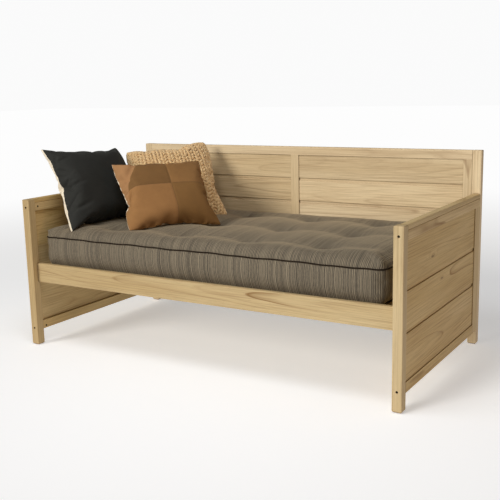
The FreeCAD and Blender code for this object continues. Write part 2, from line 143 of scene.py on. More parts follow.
# Lacquered rubberwood-like hardwood: pale ground, thin brown growth lines in long arches, fine pores.
# The rings are circles round a pith line behind each piece, so faces, edges and ends agree.
def makeWood(nodeName, low, high, seed):
    draw = random.Random(seed)
    size = high - low
    order = sorted(range(3), key=lambda axis: -size[axis])
    along, across, face = (Vector([1.0 if axis == n else 0.0 for n in range(3)]) for axis in order)
    if along.cross(across).dot(face) < 0:
        across = -across
    turn = Matrix((along, across, face))
    narrow = size[order[1]] < wood["narrow"]
    tilt = math.radians(wood["tilt"] * (0.3 if narrow else 1.0))
    lean = Matrix.Rotation(draw.uniform(0.4, 1.0) * tilt * draw.choice((-1, 1)), 3, "Y")
    skew = Matrix.Rotation(draw.uniform(-0.4, 0.4) * tilt, 3, "Z")
    turn = lean @ skew @ turn
    middle = (low + high) / 2
    pith = Vector((draw.uniform(-50, 50), draw.uniform(-0.35, 0.35) * size[order[1]],
                   draw.uniform(*wood["pithBehind"]) * draw.choice((-1, 1))))
    if narrow:
        pith.z *= 2.5
    offset = turn @ -middle - pith
    material, tree = newMaterial("lacqueredWood_" + nodeName)
    place = addNode(tree, "ShaderNodeTexCoord").outputs["Object"]
    mapped = addNode(tree, "ShaderNodeMapping", {"Location": offset, "Rotation": turn.to_euler()},
                     {"Vector": place}).outputs[0]

    def stretched(alongScale, acrossScale, detail=2.0, roughness=0.5):
        scaled = addNode(tree, "ShaderNodeVectorMath", {"operation": "MULTIPLY", 1: (alongScale, acrossScale, acrossScale)},
                         {0: mapped}).outputs[0]
        return addNode(tree, "ShaderNodeTexNoise", {"Scale": 1.0, "Detail": detail, "Roughness": roughness},
                       {"Vector": scaled})

    wander = stretched(1.1, 6.0).outputs["Color"]
    wander = addNode(tree, "ShaderNodeVectorMath", {"operation": "SUBTRACT", 1: (0.5, 0.5, 0.5)}, {0: wander}).outputs[0]
    wander = addNode(tree, "ShaderNodeVectorMath",
                     {"operation": "MULTIPLY_ADD", 1: (0.0, wood["waver"] * 2, wood["waver"] * 2)},
                     {0: wander, 2: mapped}).outputs[0]
    flat = addNode(tree, "ShaderNodeVectorMath", {"operation": "MULTIPLY", 1: (0.0, 1.0, 1.0)}, {0: wander}).outputs[0]
    radius = addNode(tree, "ShaderNodeVectorMath", {"operation": "LENGTH"}, {0: flat}).outputs["Value"]

    hasKnot = nodeName in wood["knotty"]
    knotPlace = Vector((draw.uniform(-0.3, 0.3) * size[order[0]], draw.uniform(-0.25, 0.25) * size[order[1]], 0.0))
    if hasKnot:
        knotAt = turn @ (middle + along * knotPlace.x + across * knotPlace.y) + offset
        away = addNode(tree, "ShaderNodeVectorMath", {"operation": "SUBTRACT", 1: knotAt}, {0: mapped}).outputs[0]
        away = addNode(tree, "ShaderNodeVectorMath", {"operation": "MULTIPLY", 1: (0.3, 1.0, 0.3)}, {0: away}).outputs[0]
        reach = addNode(tree, "ShaderNodeVectorMath", {"operation": "LENGTH"}, {0: away}).outputs["Value"]
        swell = math2(tree, "MULTIPLY", reach, 1 / wood["knotSwell"])
        swell = math2(tree, "MULTIPLY", math2(tree, "MULTIPLY", swell, swell), -1.0)
        swell = math2(tree, "POWER", math.e, swell)
        radius = math2(tree, "MULTIPLY_ADD", swell, 16 * mm, radius)

    rings = math2(tree, "DIVIDE", radius, wood["ringSpacing"])
    phase = math2(tree, "FRACT", rings)
    number = math2(tree, "FLOOR", rings)
    strength = addNode(tree, "ShaderNodeTexWhiteNoise", {"noise_dimensions": "1D"}, {"W": number}).outputs["Value"]
    line = ramp(tree, phase, [(0.0, 0.35), (0.07, 0.0), (0.55, 0.03), (0.86, 0.45), (0.94, 1.0), (1.0, 0.45)])
    patch = ramp(tree, stretched(1.6, 22.0).outputs[0], [(0.36, 0.15), (0.62, 1.0)])
    strength = math2(tree, "MULTIPLY_ADD", math2(tree, "POWER", strength, 1.7), 0.95, 0.14)
    grain = math2(tree, "MULTIPLY", math2(tree, "MULTIPLY", line, strength), patch)

    broad = stretched(0.7, 7.0).outputs[0]
    fibre = stretched(4.0, 320.0, 4.0, 0.65).outputs[0]
    streaks = ramp(tree, stretched(1.6, 190.0, 3.0).outputs[0], [(0.46, 0.0), (0.74, 1.0)])
    pores = ramp(tree, stretched(28.0, 800.0).outputs[0], [(0.62, 0.0), (0.72, 1.0)])
    ground = blendColours(tree, ramp(tree, broad, [(0.3, 0.0), (0.7, 1.0)]), colour(wood["light"]), colour(wood["middle"]))
    ground = blendColours(tree, math2(tree, "MULTIPLY", streaks, 0.42), ground, colour(wood["streak"]))
    shade = blendColours(tree, math2(tree, "MULTIPLY", grain, 0.9), ground, colour(wood["streak"]))
    shade = blendColours(tree, math2(tree, "MULTIPLY", pores, 0.3), shade, colour(wood["pore"]))
    if hasKnot:
        core = ramp(tree, math2(tree, "MULTIPLY", reach, 0.5 / wood["knotCore"]), [(0.35, 0.85), (0.6, 0.25), (1.0, 0.0)])
        shade = blendColours(tree, core, shade, colour(wood["knot"]))
    tone = 1.0 + draw.uniform(-1, 1) * wood["toneRange"]
    strong = 1.0 + draw.uniform(-0.05, 0.05)
    # painted light and shade: the group's shift for how the light falls on it, on top of the piece's own random tone
    paintedLightShift = wood["paintedLightByGroup"].get(nodeName.split("_")[0], (1.0, 0.0))
    strong *= paintedLightShift[0]
    tone += paintedLightShift[1]
    lightness = math2(tree, "MULTIPLY_ADD", fibre, 0.44, tone - 0.19)
    shade = addNode(tree, "ShaderNodeHueSaturation", {"Saturation": strong},
                    {"Value": lightness, "Color": shade}).outputs[0]
    # painted shade, with stain: the colour darkens towards the joint colour where ambient occlusion finds the surface
    # closed in
    openness = addNode(tree, "ShaderNodeAmbientOcclusion", {"samples": 6, "Distance": wood["jointReach"]}).outputs["AO"]
    stainAndShadeAmount = ramp(tree, openness, [(0.42, 0.85), (0.80, 0.0)])
    shade = blendColours(tree, stainAndShadeAmount, shade, colour(wood["joint"]))
    rough = math2(tree, "MULTIPLY_ADD", fibre, 0.16, 0.50)
    height = math2(tree, "MULTIPLY_ADD", grain, -0.5, math2(tree, "MULTIPLY_ADD", pores, -0.4, fibre))
    finishMaterial(tree, {"IOR": 1.5, "Specular IOR Level": 0.22}, {"Base Color": shade, "Roughness": rough}, height, 0.25 * mm, 0.35)
    return material


def steelMaterial(name, ground, worn, metallic, roughness, grain):
    material, tree = newMaterial(name)
    place = addNode(tree, "ShaderNodeTexCoord").outputs["Object"]
    noise = addNode(tree, "ShaderNodeTexNoise", {"Scale": 1 / grain, "Detail": 4.0}, {"Vector": place}).outputs[0]
    shade = blendColours(tree, ramp(tree, noise, [(0.4, 0.0), (0.7, 1.0)]), colour(ground), colour(worn))
    rough = math2(tree, "MULTIPLY_ADD", noise, 0.25, roughness - 0.12)
    finishMaterial(tree, {"Metallic": metallic}, {"Base Color": shade, "Roughness": rough}, noise, 0.05 * mm, 0.4)
    return material


def giveMaterial(piece, material):
    if not piece.material_slots:
        piece.data.materials.append(material)
    for materialSlot in piece.material_slots:
        materialSlot.material = material


# black oxide on bolts is dull and slightly brown, zinc plate is pale with a blue cast
blackOxide = steelMaterial("blackOxideSteel", "17171A", "2B2724", 0.9, 0.5, 2 * mm)
zincPlate = steelMaterial("zincPlatedSteel", "9EA3A8", "BFC4C6", 1.0, 0.38, 3 * mm)
softPieces = ("mattress", "charcoal_pillow", "knit_pillow", "suede_pillow")
fixings = {"post_bolts": blackOxide, "barrel_nuts": blackOxide, "rail_hook_plates": zincPlate,
           "slat_screws": zincPlate, "ledger_screws": zincPlate}
for count, nodeName in enumerate(sorted(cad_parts)):
    if nodeName in fixings:
        giveMaterial(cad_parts[nodeName], fixings[nodeName])
    elif nodeName not in softPieces:
        low, high = (Vector(corner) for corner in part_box(nodeName))
        giveMaterial(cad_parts[nodeName], makeWood(nodeName, low, high, 11 + count))
print("wood and fixings finished")


# Shaping helpers

def addBlock(name, low, high):
    bpy.ops.object.select_all(action="DESELECT")
    low, high = Vector(low), Vector(high)
    bpy.ops.mesh.primitive_cube_add(size=1, location=(low + high) / 2, scale=high - low)
    piece = bpy.context.object
    piece.name = name
    bpy.ops.object.transform_apply(location=True, rotation=True, scale=True)
    return piece


def onlySelect(piece):
    bpy.ops.object.select_all(action="DESELECT")
    piece.select_set(True)
    bpy.context.view_layer.objects.active = piece


# bevels the edges whose two ends both pass the test
def bevelWhere(piece, test, width, segments):
    onlySelect(piece)
    bpy.ops.object.mode_set(mode="EDIT")
    bpy.ops.mesh.select_all(action="DESELECT")
    bpy.ops.object.mode_set(mode="OBJECT")
    for edge in piece.data.edges:
        edge.select = test(*(piece.data.vertices[n].co for n in edge.vertices))
    bpy.ops.object.mode_set(mode="EDIT")
    bpy.ops.mesh.select_mode(type="EDGE")
    bpy.ops.mesh.bevel(offset=width, segments=segments, affect="EDGES")
    bpy.ops.object.mode_set(mode="OBJECT")


def applyModifier(piece, kind, **settings):
    onlySelect(piece)
    modifier = piece.modifiers.new(kind.title(), kind)
    for name, value in settings.items():
        setattr(modifier, name, value)
    bpy.ops.object.modifier_apply(modifier=modifier.name)


def readPoints(piece):
    points = np.empty(len(piece.data.vertices) * 3)
    piece.data.vertices.foreach_get("co", points)
    return points.reshape(-1, 3)


def writePoints(piece, points):
    piece.data.vertices.foreach_set("co", points.ravel())
    piece.data.update()


# blows a closed cover up from inside, the pinned points held, and caps how far any point moves
def inflate(piece, pressure, stiffness, bending, frames, cap, pinned=None, shrink=0.0, mass=0.3):
    start = readPoints(piece)
    onlySelect(piece)
    cloth = piece.modifiers.new("Cloth", "CLOTH")
    cloth.settings.quality = 5
    cloth.settings.mass = mass
    cloth.settings.use_pressure = True
    cloth.settings.uniform_pressure_force = pressure
    cloth.settings.tension_stiffness = stiffness
    cloth.settings.compression_stiffness = stiffness
    cloth.settings.shear_stiffness = stiffness / 2
    cloth.settings.bending_stiffness = bending
    cloth.settings.shrink_min = shrink
    cloth.settings.effector_weights.gravity = 0
    cloth.collision_settings.use_collision = False
    if pinned is not None:
        group = piece.vertex_groups.new(name="held")
        group.add([int(n) for n in np.nonzero(pinned)[0]], 1.0, "REPLACE")
        cloth.settings.vertex_group_mass = "held"
    for number in range(1, frames + 1):
        scene.frame_set(number)
    bpy.ops.object.modifier_apply(modifier=cloth.name)
    scene.frame_set(1)
    piece.vertex_groups.clear()
    moved = readPoints(piece) - start
    far = np.linalg.norm(moved, axis=1)
    soft = cap * np.tanh(far / cap)
    writePoints(piece, start + moved * (soft / np.maximum(far, 1e-9))[:, None])


def gauss(distance, width):
    return np.exp(-(distance / width) ** 2)


def smoothFaces(piece):
    piece.data.polygons.foreach_set("use_smooth", [True] * len(piece.data.polygons))


# writes a UV map from one pair of numbers per corner
def writeUv(piece, pairs):
    layer = piece.data.uv_layers.new(name="cloth")
    layer.data.foreach_set("uv", np.asarray(pairs, dtype=float).ravel())


def cornerVertices(piece):
    corners = np.empty(len(piece.data.loops), dtype=int)
    piece.data.loops.foreach_get("vertex_index", corners)
    return corners


# Mattress

mattress = {
    "voxel": 11 * mm,
    "inset": (0 * mm, 38 * mm, 4 * mm),   # left, right, front and back
    "top": 2 * mm,                  # the flat cover before it swells, below the CAD top
    "cornerRadius": 54 * mm,
    "rimRadius": 46 * mm,
    "bottomRadius": 13 * mm,
    "seamDrop": 47 * mm,            # top of the mattress down to the piping
    "tuftPitch": 381 * mm,
    "tuftColumns": (-1.5, -0.5, 0.5, 1.5),
    "tuftRowPitch": 317.5 * mm,
    "tuftDepth": 23 * mm,
    "tuftRadius": 46 * mm,
    "tuftStitches": 4,
    "tuftStitch": 15 * mm,
    "tuftYarn": 1.5 * mm,
    "valleyDepth": 7 * mm,
    "valleyWidth": 42 * mm,
    "crossDepth": 3 * mm,
    "pressure": 4.5,
    "cap": 16 * mm,
    "pipingRadius": 3.6 * mm,
    "stripe": 3.6 * mm,
    "dark": "3D372F",
    "taupe": "685F50",
    "beige": "8A7E69",
    "grey": "524A3F",
}


# Woven ticking: yarn-dyed stripes of uneven width in taupe, charcoal and beige, run front to back
# on the panels and up the border, with slubs along the yarns. Drawn from the cloth UV, in metres.
def makeTicking():
    material, tree = newMaterial("wovenStripeTicking")
    flat = addNode(tree, "ShaderNodeUVMap", {"uv_map": "cloth"}).outputs[0]
    parts = addNode(tree, "ShaderNodeSeparateXYZ", None, {0: flat})
    u, v = parts.outputs[0], parts.outputs[1]

    def stripes(width, seed):
        number = math2(tree, "FLOOR", math2(tree, "DIVIDE", u, width))
        return addNode(tree, "ShaderNodeTexWhiteNoise", {"noise_dimensions": "2D"},
                       {"Vector": addNode(tree, "ShaderNodeCombineXYZ", {1: seed}, {0: number}).outputs[0]}).outputs["Value"]

    fine = stripes(mattress["stripe"], 3.0)
    pairs = math2(tree, "MODULO", math2(tree, "FLOOR", math2(tree, "DIVIDE", u, mattress["stripe"])), 2.0)
    pairs = math2(tree, "ABSOLUTE", pairs)
    middle = stripes(mattress["stripe"] * 2.4, 7.0)
    wide = addNode(tree, "ShaderNodeTexNoise", {"noise_dimensions": "1D", "Scale": 9.0, "Detail": 1.0},
                   {"W": u}).outputs[0]
    mixed = math2(tree, "MULTIPLY_ADD", middle, 0.08, math2(tree, "MULTIPLY_ADD", fine, 0.22, 0.17))
    mixed = math2(tree, "MULTIPLY_ADD", wide, 0.08, math2(tree, "MULTIPLY_ADD", pairs, 0.34, mixed))
    stretch = addNode(tree, "ShaderNodeCombineXYZ", None, {0: math2(tree, "MULTIPLY", u, 420.0),
                                                          1: math2(tree, "MULTIPLY", v, 60.0)}).outputs[0]
    slub = addNode(tree, "ShaderNodeTexNoise", {"Scale": 1.0, "Detail": 3.0, "Roughness": 0.7}, {"Vector": stretch}).outputs[0]
    mixed = math2(tree, "ADD", mixed, math2(tree, "MULTIPLY_ADD", slub, 0.5, -0.25))
    shade = ramp(tree, mixed, [(0.22, colour(mattress["dark"])), (0.38, colour(mattress["grey"])),
                               (0.55, colour(mattress["taupe"])), (0.80, colour(mattress["beige"]))])
    warp = math2(tree, "SINE", math2(tree, "MULTIPLY", u, 2 * math.pi / (mattress["stripe"] / 2)))
    weft = math2(tree, "SINE", math2(tree, "MULTIPLY", v, 2 * math.pi / (mattress["stripe"] / 2)))
    weave = math2(tree, "MULTIPLY", warp, weft)
    height = math2(tree, "MULTIPLY_ADD", weave, 0.3, slub)
    finishMaterial(tree, {"Roughness": 0.92, "Sheen Weight": 0.52, "Sheen Roughness": 0.4, "Sheen Tint": colour("CDBD9E"), "IOR": 1.45},
                   {"Base Color": shade}, height, 0.5 * mm, 0.5)
    return material


# dark twill piping cord
def makePiping(name, light, dark):
    material, tree = newMaterial(name)
    flat = addNode(tree, "ShaderNodeTexCoord").outputs["Object"]
    noise = addNode(tree, "ShaderNodeTexNoise", {"Scale": 260.0, "Detail": 3.0}, {"Vector": flat}).outputs[0]
    shade = blendColours(tree, ramp(tree, noise, [(0.35, 0.0), (0.65, 1.0)]), colour(dark), colour(light))
    finishMaterial(tree, {"Roughness": 0.9, "Specular IOR Level": 0.15}, {"Base Color": shade}, noise, 0.4 * mm, 0.6)
    return material


# a round cord through a closed list of points, as a mesh with its place applied
def closedCord(name, points, radius, sides=8):
    curve = bpy.data.curves.new(name, "CURVE")
    curve.dimensions = "3D"
    spline = curve.splines.new("POLY")
    spline.points.add(len(points) - 1)
    for point, place in zip(spline.points, points):
        point.co = (*place, 1.0)
    spline.use_cyclic_u = True
    curve.bevel_depth = radius
    curve.bevel_resolution = (sides - 4) // 2
    piece = bpy.data.objects.new(name, curve)
    scene.collection.objects.link(piece)
    onlySelect(piece)
    bpy.ops.object.convert(target="MESH")
    smoothFaces(piece)
    return piece


# points round a rectangle with rounded corners, anticlockwise from the middle of the front
def roundedLoop(halfX, y0, y1, radius, spacing):
    straight = [((-halfX + radius, y0), (halfX - radius, y0)), ((halfX, y0 + radius), (halfX, y1 - radius)),
                ((halfX - radius, y1), (-halfX + radius, y1)), ((-halfX, y1 - radius), (-halfX, y0 + radius))]
    centres = [(halfX - radius, y0 + radius), (halfX - radius, y1 - radius),
               (-halfX + radius, y1 - radius), (-halfX + radius, y0 + radius)]
    loop = []
    for side, ((start, end), centre) in enumerate(zip(straight, centres)):
        steps = max(2, round(math.dist(start, end) / spacing))
        for n in range(steps):
            loop.append((start[0] + (end[0] - start[0]) * n / steps, start[1] + (end[1] - start[1]) * n / steps))
        steps = max(4, round(radius * math.pi / 2 / spacing))
        for n in range(steps):
            angle = math.pi / 2 * (side - 1 + n / steps)
            loop.append((centre[0] + radius * math.cos(angle), centre[1] + radius * math.sin(angle)))
    return loop


def makeMattress():
    low, high = (Vector(corner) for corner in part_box("mattress"))
    insetLeft, insetRight, insetY = mattress["inset"]
    coverTop = high.z - mattress["top"]
    start, end = Vector((low.x + insetLeft, low.y + insetY, low.z + 1 * mm)), Vector((high.x - insetRight, high.y - insetY, coverTop))
    piece = addBlock("mattressCover", start, end)
    bevelWhere(piece, lambda a, b: abs(a.z - b.z) > 50 * mm, mattress["cornerRadius"], 6)
    bevelWhere(piece, lambda a, b: min(a.z, b.z) > coverTop - 1 * mm, mattress["rimRadius"], 5)
    bevelWhere(piece, lambda a, b: max(a.z, b.z) < low.z + 2 * mm, mattress["bottomRadius"], 3)
    applyModifier(piece, "REMESH", mode="VOXEL", voxel_size=mattress["voxel"])
    points = readPoints(piece)
    seamHeight = high.z - mattress["seamDrop"]
    middleY = (low.y + high.y) / 2
    rows = [middleY + n * mattress["tuftRowPitch"] for n in (-1, 0, 1)]
    columns = [n * mattress["tuftPitch"] for n in mattress["tuftColumns"]]
    x, y, z = points.T
    inside = np.minimum.reduce([x - start.x, end.x - x, y - start.y, end.y - y])
    onTop = np.clip((z - (coverTop - 45 * mm)) / (35 * mm), 0, 1)
    fade = np.clip(inside / (120 * mm), 0, 1) * onTop
    dip = np.zeros(len(points))
    nearTuft = np.full(len(points), 1.0)
    for rowY in rows:
        dip += mattress["valleyDepth"] * gauss(y - rowY, mattress["valleyWidth"])
        for columnX in columns:
            away = np.hypot(x - columnX, y - rowY)
            nearTuft = np.minimum(nearTuft, away)
            dip += (mattress["tuftDepth"] - mattress["valleyDepth"]) * gauss(away, mattress["tuftRadius"])
    for columnX in columns:
        dip += mattress["crossDepth"] * gauss(x - columnX, mattress["valleyWidth"])
    points[:, 2] -= dip * fade
    writePoints(piece, points)
    onWall = inside < 12 * mm
    pinned = (z < low.z + 12 * mm) | ((nearTuft < 14 * mm) & (onTop > 0.5)) | (onWall & (abs(z - seamHeight) < 7 * mm))
    rest = points.copy()
    inflate(piece, mattress["pressure"], 8.0, 0.4, 18, mattress["cap"], pinned)
    points = readPoints(piece)
    points[:, 2] = np.maximum(points[:, 2], low.z + 0.5 * mm)
    # the front rail holds the cover back, up to the rail's top
    railTop = Vector(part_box("front_rail")[1])
    behindRail = points[:, 2] < railTop.z + 2 * mm
    points[behindRail, 1] = np.maximum(points[behindRail, 1], railTop.y + 1.5 * mm)
    # the seam draws the cover in along its line
    wall = np.clip(1 - inside / (30 * mm), 0, 1)
    draw = 3.5 * mm * gauss(rest[:, 2] - seamHeight, 9 * mm) * wall
    centre = np.array([0.0, middleY])
    outwards = np.column_stack([np.clip(points[:, 0] / (end.x - 0.10), -1, 1) ** 9,
                                np.clip((points[:, 1] - middleY) / ((end.y - start.y) / 2 - 0.06), -1, 1) ** 9])
    length = np.maximum(np.linalg.norm(outwards, axis=1), 0.3)
    points[:, :2] -= outwards / length[:, None] * draw[:, None]
    writePoints(piece, points)
    smoothFaces(piece)

    # the border's UV runs round the edge by arc length, the panels' is flat
    corners = cornerVertices(piece)
    faceOf = np.repeat(np.arange(len(piece.data.polygons)), [len(f.vertices) for f in piece.data.polygons])
    faceZ = np.array([rest[list(f.vertices), 2].mean() for f in piece.data.polygons])
    faceEdge = np.array([inside[list(f.vertices)].mean() for f in piece.data.polygons])
    border = (faceEdge < 26 * mm) & (faceZ < seamHeight) & (faceZ > low.z + 10 * mm)
    loop = np.array(roundedLoop(end.x, start.y, end.y, mattress["cornerRadius"], 4 * mm))
    along = np.concatenate([[0], np.cumsum(np.linalg.norm(np.diff(loop, axis=0), axis=1))]) + loop[0, 0]
    tree = kdtree.KDTree(len(loop))
    for n, place in enumerate(loop):
        tree.insert((*place, 0), n)
    tree.balance()
    arc = np.array([along[tree.find((p[0], p[1], 0))[1]] for p in rest])
    arc = np.where(arc < 0, arc, arc)
    onBorder = border[faceOf]
    uv = np.column_stack([np.where(onBorder, arc[corners], rest[corners, 0]),
                          np.where(onBorder, rest[corners, 2], rest[corners, 1])])
    writeUv(piece, uv)
    giveMaterial(piece, makeTicking())

    # piping follows the swollen cover along both seams
    surface = BVHTree.FromPolygons([tuple(p) for p in points], [tuple(f.vertices) for f in piece.data.polygons])
    knots = []
    for number, (columnX, rowY) in enumerate((columnX, rowY) for columnX in columns for rowY in rows):
        foot = surface.ray_cast(Vector((columnX, rowY, high.z + 0.1)), Vector((0, 0, -1)))[0]
        for stitch in range(mattress["tuftStitches"]):
            turn = math.pi * (stitch + 0.35 * math.sin(number * 2.3)) / mattress["tuftStitches"]
            halfLong, halfTall = mattress["tuftStitch"] / 2, mattress["tuftStitch"] / 4
            loop = [foot + Vector((halfLong * math.cos(t) * math.cos(turn), halfLong * math.cos(t) * math.sin(turn),
                                   halfTall * math.sin(t) + stitch * 0.4 * mm))
                    for t in (2 * math.pi * step / 20 for step in range(20))]
            knots.append(closedCord("tuft", loop, mattress["tuftYarn"]))
    onlySelect(knots[0])
    for knot in knots:
        knot.select_set(True)
    bpy.ops.object.join()
    knots[0].name = "mattressTufts"
    giveMaterial(knots[0], pipingCloth)
    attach(knots[0], "mattress")
    for label, height in (("Top", seamHeight), ("Bottom", low.z + 15 * mm)):
        path = []
        for n, (px, py) in enumerate(roundedLoop(high.x + 0.05, low.y - 0.05, high.y + 0.05, 0.12, 14 * mm)):
            origin = Vector((px, py, height + 1.2 * mm * math.sin(n * 0.21) + 0.8 * mm * math.sin(n * 0.57)))
            target = Vector((max(-end.x + 0.15, min(end.x - 0.15, px)), max(start.y + 0.15, min(end.y - 0.15, py)), origin.z))
            hit = surface.ray_cast(origin, (target - origin).normalized())
            if hit[0] is not None:
                path.append(hit[0] + (origin - target).normalized() * 0.6 * mm)
        cord = closedCord("mattressPiping" + label, path, mattress["pipingRadius"])
        giveMaterial(cord, pipingCloth)
        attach(cord, "mattress")
    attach(piece, "mattress")
    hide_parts("mattress")
    return surface


pipingCloth = makePiping("darkTwillPiping", "2E2317", "17110B")
mattressSurface = makeMattress()
print("mattress made")


# Throw pillows

# each stands where its CAD solid stands: turned to face a way (degrees from the front towards the
# right), leant back, and bent further back above its middle
pillows = {
    "charcoal": {"node": "charcoal_pillow", "width": 490 * mm, "height": 452 * mm, "thickness": 172 * mm,
                 "facing": 80, "lean": 26, "bend": 27 * mm, "sag": 0.14, "fill": 0.7, "backShare": 0.72,
                 "corners": (0, 6, 3, 0), "tilt": -32 * mm, "shift": -16 * mm, "move": (4, -10), "trim": 8 * mm},
    "knit": {"node": "knit_pillow", "width": 462 * mm, "height": 455 * mm, "thickness": 118 * mm,
             "facing": 47, "lean": 36, "bend": 0 * mm, "sag": 0.10, "fill": 0.6, "backShare": 1.0,
             "corners": (6, 4, 12, 14), "tilt": 42 * mm, "shift": 40 * mm, "move": (0, -6), "trim": 0.0},
    "suede": {"node": "suede_pillow", "width": 482 * mm, "height": 438 * mm, "thickness": 140 * mm,
              "facing": 54, "lean": 44, "bend": 4 * mm, "sag": 0.02, "fill": 0.7, "backShare": 0.8,
              "corners": (5, 0, 4, 0), "tilt": 0.0, "shift": 0.0, "move": (0, -16), "trim": 4 * mm},
}
pillowCloth = {
    "grid": 5.4 * mm,
    "flat": 5 * mm,                 # thickness of the empty cover
    "ease": 1.03,                   # the flat cover is this much larger than the filled one
    "bow": 0.075,                   # how far the pattern's sides are cut outwards, as a share of its half
    "pressure": 5.0,
    "stiffness": 12.0,
    "bending": 0.25,
    "frames": 26,
    "shrink": -0.02,
}


# a flat closed cover of front, back and a narrow seam strip, blown up from inside
def sewCover(name, sizes):
    width, height = sizes["width"] * pillowCloth["ease"], sizes["height"] * pillowCloth["ease"]
    across, up = round(width / pillowCloth["grid"]), round(height / pillowCloth["grid"])
    bpy.ops.object.select_all(action="DESELECT")
    bpy.ops.mesh.primitive_grid_add(x_subdivisions=across, y_subdivisions=up, size=1, rotation=(math.pi / 2, 0, 0),
                                    location=(0, -pillowCloth["flat"] / 2, sizes["height"] / 2), scale=(width, height, 1))
    piece = bpy.context.object
    piece.name = name
    piece.scale = (width, height, 1)
    bpy.ops.object.transform_apply(location=True, rotation=True, scale=True)
    bpy.ops.object.mode_set(mode="EDIT")
    bpy.ops.mesh.select_all(action="SELECT")
    bpy.ops.mesh.extrude_region_move(TRANSFORM_OT_translate={"value": (0, pillowCloth["flat"], 0)})
    bpy.ops.mesh.select_all(action="SELECT")
    bpy.ops.mesh.normals_make_consistent(inside=False)
    bpy.ops.object.mode_set(mode="OBJECT")
    rest = readPoints(piece)
    writeUv(piece, rest[cornerVertices(piece)][:, [0, 2]])
    cut = rest.copy()
    half = np.array([width / 2, height / 2])
    flat = (rest[:, [0, 2]] - (0, sizes["height"] / 2)) / half
    cut[:, 0] += pillowCloth["bow"] * half[0] * flat[:, 0] ** 3 * (1 - flat[:, 1] ** 2)
    cut[:, 2] += pillowCloth["bow"] * half[1] * flat[:, 1] ** 3 * (1 - flat[:, 0] ** 2)
    # each corner is cut back by its own amount: lower left, lower right, upper right, upper left
    for pull, (signX, signZ) in zip(sizes["corners"], ((-1, -1), (1, -1), (1, 1), (-1, 1))):
        nearCorner = np.clip((flat[:, 0] * signX + flat[:, 1] * signZ) / 2, 0, 1) ** 8 * pull * mm
        cut[:, 0] -= nearCorner * signX
        cut[:, 2] -= nearCorner * signZ
    writePoints(piece, cut)
    inflate(piece, pillowCloth["pressure"], pillowCloth["stiffness"], pillowCloth["bending"], pillowCloth["frames"],
            1.0, None, pillowCloth["shrink"])
    points = readPoints(piece)
    points[:, 0] *= (sizes["width"] - 4 * mm) / np.ptp(points[:, 0])
    points[:, 2] = sizes["height"] / 2 + (points[:, 2] - points[:, 2].mean()) * (sizes["height"] - 4 * mm) / np.ptp(points[:, 2])
    # settle: the filling is evened to the pillow's thickness, sinks towards the foot, and the top bends back
    span = np.percentile(points[:, 1], 99.8) - np.percentile(points[:, 1], 0.2)
    points[:, 1] *= sizes["thickness"] / span
    share = points[:, 2] / sizes["height"]
    points[:, 1] *= 1 + sizes["sag"] * (0.5 - share)
    points[:, 1] *= np.where(points[:, 1] > 0, sizes["backShare"], 2 - sizes["backShare"])
    points[:, 1] += sizes["bend"] * np.clip(share - 0.45, 0, 1) ** 2 / 0.3
    points[:, 2] += sizes["tilt"] * share * (points[:, 0] / sizes["width"] - 0.3)
    points[:, 0] -= sizes["shift"] * share
    points[:, [0, 2]] += np.array(sizes["move"]) * mm
    writePoints(piece, points)
    return piece, rest


def normalsOf(piece):
    normals = np.empty(len(piece.data.vertices) * 3)
    piece.data.vertices.foreach_get("normal", normals)
    return normals.reshape(-1, 3)


# presses a soft line into the front of a cover, from one point of its flat pattern to another
def pressLine(piece, rest, start, end, depth, width, front=True):
    points, normals = readPoints(piece), normalsOf(piece)
    flat = rest[:, [0, 2]]
    start, end = np.array(start), np.array(end)
    way = end - start
    share = np.clip(((flat - start) @ way) / (way @ way), 0, 1)
    away = np.linalg.norm(flat - (start + share[:, None] * way), axis=1)
    side = rest[:, 1] < 0 if front else rest[:, 1] > 0
    press = depth * gauss(away, width) * np.sin(np.pi * (0.12 + 0.8 * (1 - share))) * side
    writePoints(piece, points - normals * press[:, None])


# sets a finished local cover in its place against the CAD solid, and rests its foot on the mattress
def standPillow(piece, sizes, bed, clearance=0.8 * mm, settle=6 * mm):
    low, high = (Vector(corner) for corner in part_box(sizes["node"]))
    turn = Matrix.Rotation(math.radians(sizes["facing"]), 4, "Z") @ Matrix.Rotation(math.radians(-sizes["lean"]), 4, "X")
    place = Matrix.Translation((low + high) / 2) @ turn @ Matrix.Translation((0, 0, -sizes["height"] / 2))
    piece.data.transform(place)
    points = readPoints(piece)
    for n in np.nonzero(points[:, 2] < low.z + 60 * mm)[0]:
        hit = bed.ray_cast(Vector((points[n, 0], points[n, 1], low.z + 0.1)), Vector((0, 0, -1)))
        under = (hit[0].z if hit[0] is not None else low.z) + clearance
        points[n, 2] = under + settle * np.logaddexp(0.0, (points[n, 2] - under) / settle)
    writePoints(piece, points)
    return place


# short-pile cotton velvet: near black with a cool bloom where the pile turns
def makeCharcoal():
    material, tree = newMaterial("charcoalCottonVelvet")
    flat = addNode(tree, "ShaderNodeUVMap", {"uv_map": "cloth"}).outputs[0]
    cloud = addNode(tree, "ShaderNodeTexNoise", {"Scale": 14.0, "Detail": 3.0}, {"Vector": flat}).outputs[0]
    pile = addNode(tree, "ShaderNodeTexNoise", {"Scale": 900.0, "Detail": 2.0}, {"Vector": flat}).outputs[0]
    shade = blendColours(tree, ramp(tree, cloud, [(0.35, 0.0), (0.7, 1.0)]), colour("121310"), colour("1B1C18"))
    shade = blendColours(tree, math2(tree, "MULTIPLY", pile, 0.35), shade, colour("262721"))
    finishMaterial(tree, {"Roughness": 0.85, "Sheen Weight": 0.07, "Sheen Roughness": 0.45, "Sheen Tint": colour("9C9E94")},
                   {"Base Color": shade}, pile, 0.4 * mm, 0.5)
    return material


